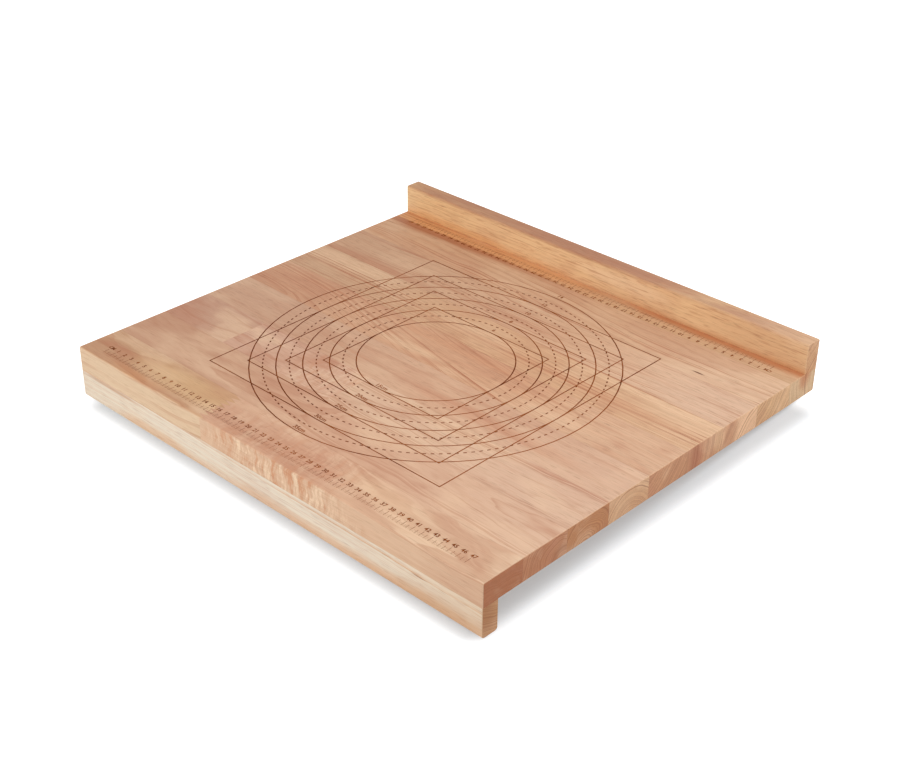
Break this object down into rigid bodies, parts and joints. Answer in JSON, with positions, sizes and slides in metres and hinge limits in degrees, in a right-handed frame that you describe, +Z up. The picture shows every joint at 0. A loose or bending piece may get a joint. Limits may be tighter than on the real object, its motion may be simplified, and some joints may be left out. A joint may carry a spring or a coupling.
{
  "type": "pastry board",
  "caption": "Glued hardwood pastry board with measuring rings and rulers, a lip that hooks over the worktop's front edge and a stop along the rear.",
  "frame": {"origin": "middle of the panel's underside, which lies on the worktop", "axes": "+X to the right along the front edge, +Y from the lip at the front to the stop at the rear, +Z up out of the panel's top"},
  "size_m": [0.524, 0.459, 0.085],
  "materials": {
    "panel_wood": "sanded and oiled",
    "lip_wood": "sanded and oiled",
    "stop_wood": "sanded and oiled",
    "dowel_wood": "bare",
    "burnt_mark": "burnt"
  },
  "bodies": {
    "root": {"lip_rail": "lip_wood", "stop_rail": "stop_wood", "stave_1_a": "panel_wood", "stave_1_b": "panel_wood", "stave_2": "panel_wood", "stave_3_a": "panel_wood", "stave_3_b": "panel_wood", "stave_3_c": "panel_wood", "stave_4": "panel_wood", "stave_5": "panel_wood", "stave_6": "panel_wood", "stave_7": "panel_wood", "stave_8": "panel_wood", "stave_9": "panel_wood", "lip_dowel_1": "dowel_wood", "lip_dowel_2": "dowel_wood", "lip_dowel_3": "dowel_wood", "lip_dowel_4": "dowel_wood", "lip_dowel_5": "dowel_wood", "lip_dowel_6": "dowel_wood", "stop_dowel_1": "dowel_wood", "stop_dowel_2": "dowel_wood", "stop_dowel_3": "dowel_wood", "stop_dowel_4": "dowel_wood", "stop_dowel_5": "dowel_wood", "stop_dowel_6": "dowel_wood"}
  },
  "joints": []
}
